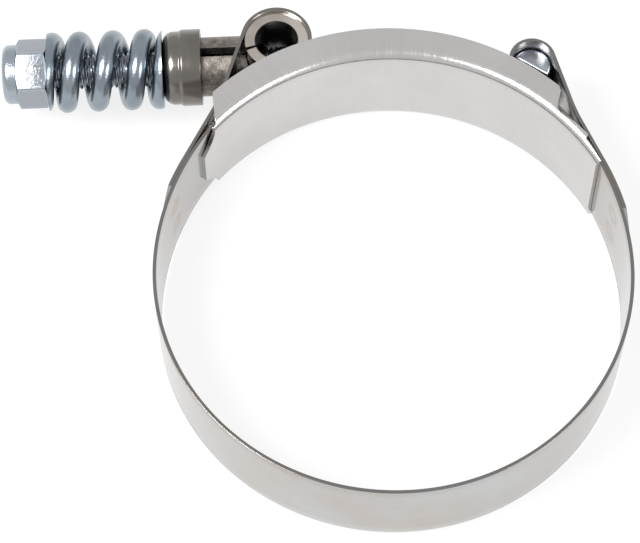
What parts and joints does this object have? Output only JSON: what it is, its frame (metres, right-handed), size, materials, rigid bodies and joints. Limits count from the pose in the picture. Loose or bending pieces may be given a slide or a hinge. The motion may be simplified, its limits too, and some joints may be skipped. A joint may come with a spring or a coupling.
{
  "type": "spring loaded t-bolt hose clamp",
  "caption": "Flat steel band ring with folded loops, closed over a curved bridge by a T-bolt, with a coil spring and lock nut that keep it tight.",
  "frame": {"origin": "centre of the hose circle, at mid-width of the band", "axes": "+Z along the hose's own axis, +X along the bolt's axis from the nut towards the tee, +Y from the hose centre towards the bolt"},
  "size_m": [0.1104, 0.0954, 0.0214],
  "materials": {
    "stainless_band": "bright rolled strip",
    "stainless_bridge": "satin with fine rubbing marks",
    "zinc_bolt": "bright zinc plate",
    "stainless_trunnion": "drawn tube, satin",
    "stainless_sleeve": "drawn tube, satin",
    "dark_cup": "dark nickel, satin",
    "spring_wire": "bright zinc plate on drawn wire",
    "zinc_nut": "bright zinc plate",
    "nylon": "plain nylon"
  },
  "bodies": {
    "root": {"band": "stainless_band", "bridge": "stainless_bridge", "t_bolt": "zinc_bolt", "trunnion": "stainless_trunnion", "sleeve": "stainless_sleeve", "spring_cup": "dark_cup"},
    "spring": {"spring": "spring_wire"},
    "nut": {"lock_nut": "zinc_nut", "nylon_insert": "nylon"}
  },
  "joints": [
    {"name": "nut_travel", "type": "slide", "parent": "root", "child": "spring", "axis": [1, 0, 0], "range_m": [0, 0.00363], "deforming": ["spring"]},
    {"name": "nut_turn", "type": "hinge", "parent": "spring", "child": "nut", "pos_m": [-0.0644, 0.04645, 0], "axis": [1, 0, 0], "range_deg": [0, 1440]}
  ],
  "couplings": [
    {"joint": "nut_turn", "follows": "nut_travel", "rad_per_m": 6926.3}
  ]
}
